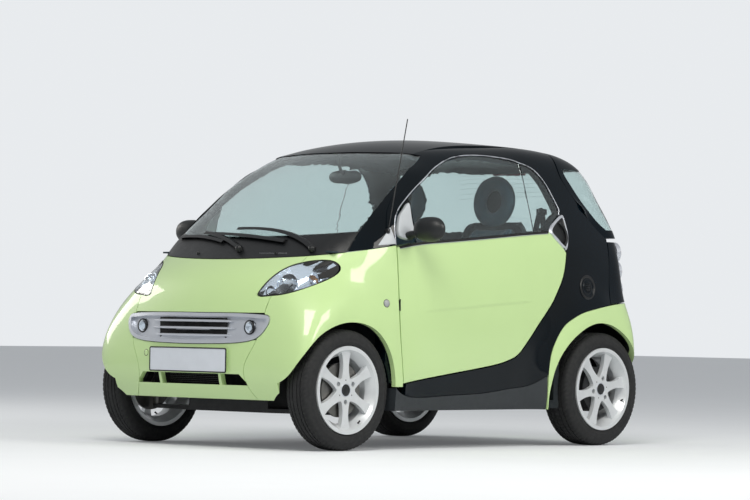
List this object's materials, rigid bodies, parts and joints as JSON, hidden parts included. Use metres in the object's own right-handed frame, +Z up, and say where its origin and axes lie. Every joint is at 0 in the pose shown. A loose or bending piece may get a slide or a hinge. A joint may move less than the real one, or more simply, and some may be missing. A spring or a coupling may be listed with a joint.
{
  "type": "two-seat microcar",
  "caption": "Short two-seat city car with a dark safety cell, green panels, steered front wheels, two doors, a lifting rear window and a drop-down tail flap.",
  "frame": {"origin": "on the ground under the middle of the car", "axes": "+X to the car's left side, +Y to the rear, +Z up"},
  "size_m": [1.8374, 2.5056, 1.5786],
  "materials": {
    "body_paint": "pistachio green, glossy moulded panels",
    "cell_paint": "gloss blue-black paint",
    "glass": "lightly tinted, clear",
    "lamp_clear": "clear lens",
    "lamp_red": "clear red lens",
    "silver_plastic": "silver lacquer",
    "dark_plastic": "grained, dark grey",
    "tyre": "matt black",
    "alloy": "silver lacquer over cast alloy",
    "steel": "dark, coated",
    "carpet": "dark carpet",
    "seat_cloth": "dark woven cloth",
    "plate": "plain white, blank"
  },
  "bodies": {
    "body": {"cell_left": "cell_paint", "cell_right": "cell_paint", "roof_panel": "cell_paint", "windscreen": "glass", "cowl": "cell_paint", "bonnet": "body_paint", "front_bumper": "body_paint", "grille": "silver_plastic", "fog_lamps": "lamp_clear", "wing_left": "body_paint", "wing_right": "body_paint", "headlamp_left": "lamp_clear", "headlamp_right": "lamp_clear", "front_plate": "plate", "front_carrier": "dark_plastic", "quarter_glass_left": "glass", "quarter_glass_right": "glass", "sill_cover_left": "dark_plastic", "sill_cover_right": "dark_plastic", "rear_arch_left": "body_paint", "rear_arch_right": "body_paint", "rear_bumper": "body_paint", "lamp_housing_left": "body_paint", "lamp_housing_right": "body_paint", "tail_lamps": "lamp_red", "rear_carrier": "dark_plastic", "front_axle": "steel", "rear_axle": "steel", "engine_block": "steel", "exhaust": "steel", "floor_pan": "carpet", "dashboard": "dark_plastic", "steering_column": "dark_plastic", "seat_left": "seat_cloth", "seat_right": "seat_cloth", "aerial": "dark_plastic", "wipers": "dark_plastic"},
    "door_left": {"door_left": "body_paint", "door_glass_left": "glass", "mirror_left": "dark_plastic"},
    "door_right": {"door_right": "body_paint", "door_glass_right": "glass", "mirror_right": "dark_plastic"},
    "hatch": {"hatch_frame": "cell_paint", "hatch_glass": "glass"},
    "flap": {"tailgate_flap": "body_paint"},
    "front_knuckle_left": {"knuckle_left": "steel"},
    "front_knuckle_right": {"knuckle_right": "steel"},
    "front_wheel_left": {"front_tyre_left": "tyre", "front_rim_left": "alloy"},
    "front_wheel_right": {"front_tyre_right": "tyre", "front_rim_right": "alloy"},
    "rear_wheel_left": {"rear_tyre_left": "tyre", "rear_rim_left": "alloy"},
    "rear_wheel_right": {"rear_tyre_right": "tyre", "rear_rim_right": "alloy"},
    "hand_wheel": {"steering_wheel": "dark_plastic"}
  },
  "joints": [
    {"name": "steer_left", "type": "hinge", "parent": "body", "child": "front_knuckle_left", "pos_m": [0.596, -0.888, 0.285], "axis": [0, 0, 1], "range_deg": [-32, 32]},
    {"name": "steer_right", "type": "hinge", "parent": "body", "child": "front_knuckle_right", "pos_m": [-0.596, -0.888, 0.285], "axis": [0, 0, 1], "range_deg": [-32, 32]},
    {"name": "hand_wheel_turn", "type": "hinge", "parent": "body", "child": "hand_wheel", "pos_m": [0.305, -0.19, 0.8], "axis": [0, 0.891, 0.454], "range_deg": [-512, 512]},
    {"name": "front_roll_left", "type": "hinge", "parent": "front_knuckle_left", "child": "front_wheel_left", "pos_m": [0.636, -0.888, 0.285], "axis": [1, 0, 0], "continuous": true},
    {"name": "front_roll_right", "type": "hinge", "parent": "front_knuckle_right", "child": "front_wheel_right", "pos_m": [-0.636, -0.888, 0.285], "axis": [1, 0, 0], "continuous": true},
    {"name": "rear_roll_left", "type": "hinge", "parent": "body", "child": "rear_wheel_left", "pos_m": [0.663, 0.924, 0.285], "axis": [1, 0, 0], "continuous": true},
    {"name": "rear_roll_right", "type": "hinge", "parent": "body", "child": "rear_wheel_right", "pos_m": [-0.663, 0.924, 0.285], "axis": [1, 0, 0], "continuous": true},
    {"name": "door_swing_left", "type": "hinge", "parent": "body", "child": "door_left", "pos_m": [0.721, -0.556, 0.67], "axis": [0, 0, -1], "range_deg": [0, 50]},
    {"name": "door_swing_right", "type": "hinge", "parent": "body", "child": "door_right", "pos_m": [-0.721, -0.556, 0.67], "axis": [0, 0, 1], "range_deg": [0, 50]},
    {"name": "hatch_lift", "type": "hinge", "parent": "body", "child": "hatch", "pos_m": [0, 0.76161, 1.49067], "axis": [1, 0, 0], "range_deg": [0, 75]},
    {"name": "flap_drop", "type": "hinge", "parent": "body", "child": "flap", "pos_m": [0, 1.2444, 0.7125], "axis": [-1, 0, 0], "range_deg": [0, 90]}
  ],
  "couplings": [
    {"joint": "steer_right", "follows": "steer_left", "ratio": 1},
    {"joint": "hand_wheel_turn", "follows": "steer_left", "ratio": 16}
  ]
}
